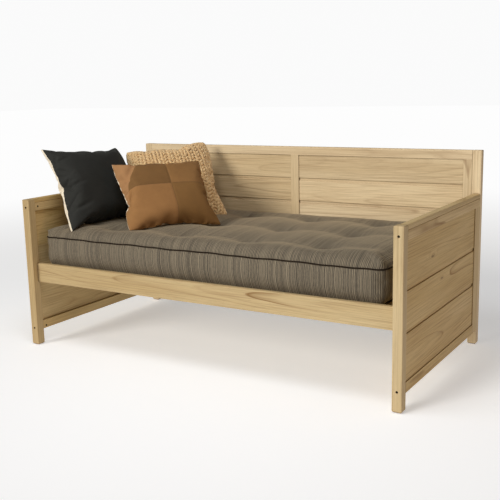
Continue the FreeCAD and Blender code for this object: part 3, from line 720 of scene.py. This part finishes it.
# plain-weave cream cotton on the pillows' backs
def makeCream():
    material, tree = newMaterial("creamCottonCanvas")
    flat = addNode(tree, "ShaderNodeUVMap", {"uv_map": "cloth"}).outputs[0]
    parts = addNode(tree, "ShaderNodeSeparateXYZ", None, {0: flat})
    threadSpacing = 1.2 * mm        # drawn coarser than the real 0.5 mm so that it shows
    warp = math2(tree, "SINE", math2(tree, "MULTIPLY", parts.outputs[0], 2 * math.pi / threadSpacing))
    weft = math2(tree, "SINE", math2(tree, "MULTIPLY", parts.outputs[1], 2 * math.pi / threadSpacing))
    weave = math2(tree, "MULTIPLY", warp, weft)
    cloud = addNode(tree, "ShaderNodeTexNoise", {"Scale": 60.0, "Detail": 4.0}, {"Vector": flat}).outputs[0]
    shade = blendColours(tree, cloud, colour("D9CBB2"), colour("EFE4CF"))
    finishMaterial(tree, {"Roughness": 0.9, "Sheen Weight": 0.15}, {"Base Color": shade}, weave, 0.3 * mm, 0.4)
    return material


suede = {
    "seamUp": 18 * mm,              # the upright seam, right of the middle
    "seamAcross": 0.53,             # share of the height where the level seam runs
    "seamDepth": 2.2 * mm,
    "seamWidth": 3.5 * mm,
    # painted light and shade: one suede in four shades, lighter or darker as each patch's nap takes the light
    "patches": ("745228", "8B6436", "92683A", "7D592B"),   # upper left, upper right, lower left, lower right
    "ear": "9C7248",
}


# microfibre suede in patches, each cut with its nap another way: the patches and the ear are painted as lighter and
# darker shades of one suede, painted light and shade for how each takes the light
def makeSuede(sizes):
    material, tree = newMaterial("patchedMicrofibreSuede")
    flat = addNode(tree, "ShaderNodeUVMap", {"uv_map": "cloth"}).outputs[0]
    parts = addNode(tree, "ShaderNodeSeparateXYZ", None, {0: flat})
    u, v = parts.outputs[0], parts.outputs[1]
    level = suede["seamAcross"] * sizes["height"]
    right = math2(tree, "GREATER_THAN", u, suede["seamUp"])
    upper = math2(tree, "GREATER_THAN", v, level)
    upperPair = blendColours(tree, right, colour(suede["patches"][0]), colour(suede["patches"][1]))
    lowerPair = blendColours(tree, right, colour(suede["patches"][2]), colour(suede["patches"][3]))
    shade = blendColours(tree, upper, lowerPair, upperPair)
    # the ear at the upper left is painted lighter still: painted light
    earLine = math2(tree, "MULTIPLY_ADD", v, 0.55, math2(tree, "MULTIPLY", u, -1.0))
    ear = math2(tree, "GREATER_THAN", earLine, 0.55 * sizes["height"] + 0.19 * sizes["width"])
    shade = blendColours(tree, ear, shade, colour(suede["ear"]))
    cloud = addNode(tree, "ShaderNodeTexNoise", {"Scale": 22.0, "Detail": 4.0, "Roughness": 0.6}, {"Vector": flat}).outputs[0]
    nap = addNode(tree, "ShaderNodeTexNoise", {"Scale": 700.0, "Detail": 3.0}, {"Vector": flat}).outputs[0]
    value = math2(tree, "MULTIPLY_ADD", cloud, 0.34, math2(tree, "MULTIPLY_ADD", nap, 0.26, 0.70))
    shade = addNode(tree, "ShaderNodeHueSaturation", None, {"Value": value, "Color": shade}).outputs[0]
    # darker within 5 mm of each seam line, most at the line
    toSeam = math2(tree, "MINIMUM", math2(tree, "ABSOLUTE", math2(tree, "SUBTRACT", u, suede["seamUp"])),
                   math2(tree, "ABSOLUTE", math2(tree, "SUBTRACT", v, level)))
    darkerNearSeams = ramp(tree, math2(tree, "DIVIDE", toSeam, 5 * mm), [(0.0, 0.45), (0.5, 0.1), (1.0, 0.0)])
    shade = blendColours(tree, darkerNearSeams, shade, colour("4A3219"))
    finishMaterial(tree, {"Roughness": 0.88, "Sheen Weight": 0.06, "Sheen Roughness": 0.5, "Sheen Tint": colour("DCA868")},
                   {"Base Color": shade}, nap, 0.4 * mm, 0.5)
    return material


# the back of a cover is faced with another cloth, which comes round the left seam by the trim
def faceBack(piece, rest, sizes, material):
    piece.data.materials.append(material)
    behind = (rest[:, 1] > 0) | (rest[:, 0] < rest[:, 0].min() + sizes["trim"])
    for polygon in piece.data.polygons:
        if all(behind[n] for n in polygon.vertices):
            polygon.material_index = 1


def finishPillow(piece, sizes, bodyName):
    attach(piece, bodyName)
    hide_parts(sizes["node"])


def makeCharcoalPillow(bed):
    sizes = pillows["charcoal"]
    piece, rest = sewCover("charcoalPillowCover", sizes)
    width, height = sizes["width"], sizes["height"]
    for start, end, depth in (((-0.47, 0.78), (-0.31, 0.81), 8), ((-0.47, 0.47), (-0.27, 0.50), 8),
                              ((-0.47, 0.20), (-0.26, 0.27), 9), ((-0.46, 0.95), (-0.31, 0.84), 7),
                              ((-0.47, 0.62), (-0.35, 0.60), 5), ((0.48, 0.55), (0.34, 0.50), 5),
                              ((0.10, -0.02), (0.04, 0.16), 4)):
        pressLine(piece, rest, (start[0] * width, start[1] * height), (end[0] * width, end[1] * height),
                  depth * mm, 9 * mm)
    giveMaterial(piece, makeCharcoal())
    faceBack(piece, rest, sizes, creamCanvas)
    applyModifier(piece, "SUBSURF", levels=1, render_levels=1)
    standPillow(piece, sizes, bed)
    smoothFaces(piece)
    finishPillow(piece, sizes, "charcoal_pillow")


# smooths the puckers out of the lower front of a cover, short of its seams
def easePuckers(piece, rest, sizes):
    seamRoom = 14 * mm
    edge = np.minimum(sizes["width"] / 2 - abs(rest[:, 0]), rest[:, 2])
    weights = np.clip(edge / seamRoom - 0.5, 0, 1) * np.clip(2.4 - 6 * rest[:, 2] / sizes["height"], 0, 1) * (rest[:, 1] < 0)
    group = piece.vertex_groups.new(name="lowerFront")
    for n in np.nonzero(weights > 0)[0]:
        group.add([int(n)], float(weights[n]), "REPLACE")
    applyModifier(piece, "SMOOTH", factor=0.7, iterations=30, vertex_group="lowerFront")
    piece.vertex_groups.clear()


def makeSuedePillow(bed):
    sizes = pillows["suede"]
    piece, rest = sewCover("suedePillowCover", sizes)
    easePuckers(piece, rest, sizes)
    width, height = sizes["width"], sizes["height"]
    level = suede["seamAcross"] * height
    for start, end in (((suede["seamUp"], 0), (suede["seamUp"], height)), ((-width / 2, level), (width / 2, level))):
        pressLine(piece, rest, start, end, suede["seamDepth"], suede["seamWidth"])
    for start, end, depth, spread in (((-0.22, 0.98), (-0.43, 0.62), 9, 14), ((-0.52, 0.50), (-0.36, 0.56), 8, 14),
                                      ((-0.50, 0.30), (-0.30, 0.24), 5, 12), ((0.50, 0.40), (0.33, 0.36), 5, 14)):
        pressLine(piece, rest, (start[0] * width, start[1] * height), (end[0] * width, end[1] * height),
                  depth * mm, spread * mm)
    giveMaterial(piece, makeSuede(sizes))
    faceBack(piece, rest, sizes, creamCanvas)
    applyModifier(piece, "SUBSURF", levels=1, render_levels=1)
    standPillow(piece, sizes, bed)
    smoothFaces(piece)
    finishPillow(piece, sizes, "suede_pillow")


knit = {
    "columnPitch": 35 * mm,
    "rowPitch": 19 * mm,
    "strand": (8.8 * mm, 7.2 * mm, 16.5 * mm),    # half thickness across, out and along
    "splay": 33,                                   # degrees each strand leans from its column
    "proud": 1.5 * mm,
    "rimPitch": 14 * mm,
    "rimStrand": (8.0 * mm, 7.0 * mm, 14.5 * mm),
    "light": "DCBE8D",
    "middle": "D2AE7B",
    "shadow": "8C6941",
}


# thick roving yarn, loosely spun: soft highlights, fine fibres along each strand
def makeYarn():
    material, tree = newMaterial("chunkyOatRoving")
    flat = addNode(tree, "ShaderNodeUVMap", {"uv_map": "cloth"}).outputs[0]
    scaled = addNode(tree, "ShaderNodeVectorMath", {"operation": "MULTIPLY", 1: (1.0, 6.0, 1.0)}, {0: flat}).outputs[0]
    fibres = addNode(tree, "ShaderNodeTexNoise", {"Scale": 5.0, "Detail": 5.0, "Roughness": 0.65}, {"Vector": scaled}).outputs[0]
    place = addNode(tree, "ShaderNodeTexCoord").outputs["Object"]
    cloud = addNode(tree, "ShaderNodeTexNoise", {"Scale": 60.0, "Detail": 2.0}, {"Vector": place}).outputs[0]
    shade = blendColours(tree, ramp(tree, cloud, [(0.35, 0.0), (0.65, 1.0)]), colour(knit["middle"]), colour(knit["light"]))
    shade = blendColours(tree, ramp(tree, fibres, [(0.3, 0.35), (0.55, 0.0)]), shade, colour(knit["shadow"]))
    finishMaterial(tree, {"Roughness": 0.9, "Sheen Weight": 0.3, "Sheen Roughness": 0.5}, {"Base Color": shade},
                   fibres, 0.8 * mm, 0.6)
    return material


# one strand of a stitch: a rounded grain, thinner at its ends
def makeStrand(halfSizes):
    bpy.ops.object.select_all(action="DESELECT")
    bpy.ops.mesh.primitive_uv_sphere_add(segments=8, ring_count=6, radius=1)
    strand = bpy.context.object
    points = readPoints(strand) * np.array(halfSizes)
    faces = [tuple(f.vertices) for f in strand.data.polygons]
    bpy.data.objects.remove(strand)
    return points, faces


def makeKnitPillow(bed):
    sizes = pillows["knit"]
    piece, rest = sewCover("knitPillowLining", sizes)
    points, normals = readPoints(piece), normalsOf(piece)
    width, height = sizes["width"] * pillowCloth["ease"], sizes["height"] * pillowCloth["ease"]
    low = sizes["height"] / 2 - height / 2
    finders = {}
    for side in (-1, 1):
        members = np.nonzero(np.sign(rest[:, 1]) == side)[0]
        tree = kdtree.KDTree(len(members))
        for n in members:
            tree.insert((rest[n, 0], rest[n, 2], 0), int(n))
        tree.balance()
        finders[side] = tree

    # where a point of the flat pattern is on the filled cover
    def onCover(u, v, side):
        near = finders[side].find_n((u, v, 0), 4)
        weights = np.array([1 / (distance + 0.2 * mm) for _, _, distance in near])
        picked = [n for _, n, _ in near]
        weights /= weights.sum()
        outward = (normals[picked] * weights[:, None]).sum(axis=0)
        return (points[picked] * weights[:, None]).sum(axis=0), outward / np.linalg.norm(outward)

    draw = random.Random(5)
    strandPoints, strandFaces = makeStrand(knit["strand"])
    allPoints, allFaces, strandCount = [], [], 0

    def layStrand(u, v, side, angle, shape, lift):
        place, outward = onCover(u, v, side)
        ahead, _ = onCover(u + 4 * mm * math.sin(angle), v + 4 * mm * math.cos(angle), side)
        alongWay = ahead - place
        alongWay -= outward * (alongWay @ outward)
        alongWay /= max(np.linalg.norm(alongWay), 1e-9)
        sideWay = np.cross(alongWay, outward)
        size = draw.uniform(0.93, 1.07)
        laid = (shape[:, :1] * sideWay + shape[:, 1:2] * outward + shape[:, 2:] * alongWay) * size + place + outward * lift
        allPoints.append(laid)

    columns = int(width / knit["columnPitch"])
    rows = int(height / knit["rowPitch"])
    splay = math.radians(knit["splay"])
    for side in (-1, 1):
        for column in range(columns):
            u = (column + 0.5 - columns / 2) * width / columns
            for row in range(rows):
                v = low + (row + 0.5) * height / rows
                for half in (-1, 1):
                    offset = half * knit["columnPitch"] * 0.25
                    layStrand(u + offset, v + draw.uniform(-1, 1) * mm, side, half * splay * (1 if column % 2 else 1),
                              strandPoints, knit["proud"] + draw.uniform(-0.6, 0.6) * mm)
                    strandCount += 1
    # a plaited rim along the seam
    rimPoints, _ = makeStrand(knit["rimStrand"])
    loop = roundedLoop(width / 2, low, low + height, 12 * mm, knit["rimPitch"])
    for n, (u, v) in enumerate(loop):
        ahead = loop[(n + 1) % len(loop)]
        heading = math.atan2(ahead[0] - u, ahead[1] - v)
        for side in (-1, 1):
            layStrand(u, v, side, heading + side * math.radians(28), rimPoints, 2.0 * mm)
            strandCount += 1

    faceCount = len(strandPoints)
    for number in range(strandCount):
        allFaces.extend(tuple(n + number * faceCount for n in face) for face in strandFaces)
    mesh = bpy.data.meshes.new("knitPillowStitches")
    mesh.from_pydata(np.concatenate(allPoints).tolist(), [], allFaces)
    stitches = bpy.data.objects.new("knitPillowStitches", mesh)
    scene.collection.objects.link(stitches)
    corners = cornerVertices(stitches)
    local = np.tile(strandPoints / np.array(knit["strand"]), (strandCount, 1))
    turns = np.arctan2(local[:, 1], local[:, 0]) / math.pi
    numbers = np.repeat(np.arange(strandCount), faceCount)
    uv = np.column_stack([local[:, 2] + numbers * 3.7, turns])
    writeUv(stitches, uv[corners])
    yarn = makeYarn()
    giveMaterial(piece, yarn)
    giveMaterial(stitches, yarn)
    place = standPillow(piece, sizes, bed)
    stitches.data.transform(place)
    onlySelect(stitches)
    bpy.ops.object.mode_set(mode="EDIT")
    bpy.ops.mesh.select_all(action="SELECT")
    bpy.ops.mesh.normals_make_consistent(inside=False)
    bpy.ops.object.mode_set(mode="OBJECT")
    smoothFaces(piece)
    smoothFaces(stitches)
    finishPillow(piece, sizes, "knit_pillow")
    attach(stitches, "knit_pillow")


creamCanvas = makeCream()
makeCharcoalPillow(mattressSurface)
makeSuedePillow(mattressSurface)
makeKnitPillow(mattressSurface)
print("pillows made")


# Studio

studio = {
    "cameraPlace": (2.135, -3.502, 1.301),
    "cameraYaw": 31.32,
    "cameraPitch": 11.20,
    "cameraRoll": -1.31,
    "lens": 59.94,
    "floorHalf": 40.0,
    "floor": "F0F2F5",
    "floorGlow": 0.36,
    "floorFade": (1.6, 7.0),        # metres from the object over which the floor turns to plain white
    "skyLight": 0.16,
    "skySeen": 0.96,
}

bpy.ops.object.select_all(action="DESELECT")
bpy.ops.object.camera_add(location=studio["cameraPlace"])
camera = bpy.context.object
turned = (Matrix.Rotation(math.radians(studio["cameraYaw"]), 3, "Z")
          @ Matrix.Rotation(math.radians(90 - studio["cameraPitch"]), 3, "X")
          @ Matrix.Rotation(math.radians(studio["cameraRoll"]), 3, "Z"))
camera.rotation_euler = turned.to_euler()
camera.data.lens = studio["lens"]
camera.data.sensor_width = 36
camera.data.clip_end = 200
scene.camera = camera


def addLight(name, kind, place, target, size, power, tint):
    bpy.ops.object.light_add(type=kind, location=place)
    light = bpy.context.object
    light.name = name
    if kind == "SUN":
        light.data.angle = math.radians(size)
    else:
        light.data.shape = "DISK"
        light.data.size = size
    light.data.energy = power
    light.data.color = colour(tint)[:3]
    light.rotation_euler = (Vector(target) - Vector(place)).to_track_quat("-Z", "Y").to_euler()


addLight("keyLight", "SUN", (-3.0, -7.0, 3.4), (0, 0, 0.5), 24, 1.95, "FFFAF2")
addLight("backLight", "AREA", (0.1, -1.3, 3.2), (0, 0.5, 0.7), 1.6, 35, "FFFFFF")
addLight("warmFill", "AREA", (14.0, -1.2, 3.8), (0.0, 0.0, 0.5), 4.0, 150, "FFC080")

bpy.ops.mesh.primitive_plane_add(size=2 * studio["floorHalf"], location=(0, 0, 0))
floor = bpy.context.object
floor.name = "studioFloor"
floorMaterial, tree = newMaterial("paintedFloor")
place = addNode(tree, "ShaderNodeTexCoord").outputs["Object"]
fadeStart, fadeEnd = studio["floorFade"]
away = addNode(tree, "ShaderNodeVectorMath", {"operation": "LENGTH"}, {0: place}).outputs["Value"]
fade = addNode(tree, "ShaderNodeMapRange", {"interpolation_type": "SMOOTHSTEP", "From Min": fadeStart, "From Max": fadeEnd},
               {"Value": away}).outputs[0]
seen = addNode(tree, "ShaderNodeLightPath").outputs["Is Camera Ray"]
paint = blendColours(tree, fade, colour(studio["floor"]), colour("000000"))
glow = math2(tree, "MULTIPLY", math2(tree, "MULTIPLY", fade, seen), studio["skySeen"] - studio["floorGlow"])
glow = math2(tree, "ADD", glow, studio["floorGlow"])
finishMaterial(tree, {"Roughness": 0.8, "Emission Color": colour("FFFFFF")},
               {"Base Color": paint, "Emission Strength": glow})
giveMaterial(floor, floorMaterial)

world = bpy.data.worlds.new("studioWorld")
world.use_nodes = True
world.node_tree.nodes.clear()
lit = addNode(world.node_tree, "ShaderNodeBackground", {"Color": colour("FFFFFF"), "Strength": studio["skyLight"]})
seen = addNode(world.node_tree, "ShaderNodeBackground", {"Color": colour("FFFFFF"), "Strength": studio["skySeen"]})
ray = addNode(world.node_tree, "ShaderNodeLightPath")
sky = addNode(world.node_tree, "ShaderNodeMixShader", None, {0: ray.outputs["Is Camera Ray"], 1: lit.outputs[0], 2: seen.outputs[0]})
addNode(world.node_tree, "ShaderNodeOutputWorld", None, {"Surface": sky.outputs[0]})
scene.world = world
print("studio set")
